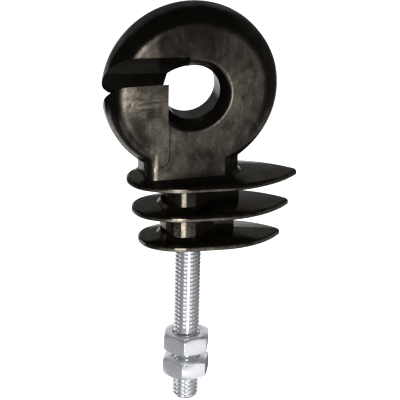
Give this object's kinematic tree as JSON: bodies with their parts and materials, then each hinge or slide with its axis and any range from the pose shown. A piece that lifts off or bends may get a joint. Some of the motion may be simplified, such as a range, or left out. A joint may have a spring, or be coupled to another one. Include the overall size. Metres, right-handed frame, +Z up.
{
  "type": "ring insulator",
  "caption": "Ring insulator for a fence wire: a slit eye on a neck with drip discs, moulded round a threaded stud with nuts.",
  "frame": {"origin": "centre of the stud's free end", "axes": "+Z up along the stud towards the eye, +X towards the tips of the discs, Y through the eye"},
  "size_m": [0.0458, 0.0162, 0.0975],
  "materials": {
    "plastic": "black moulded plastic, half gloss with flow marks",
    "zinc": "bright zinc-plated steel"
  },
  "bodies": {
    "root": {"insulator_body": "plastic", "stud": "zinc", "lower_nut": "zinc", "upper_nut": "zinc"}
  },
  "joints": []
}
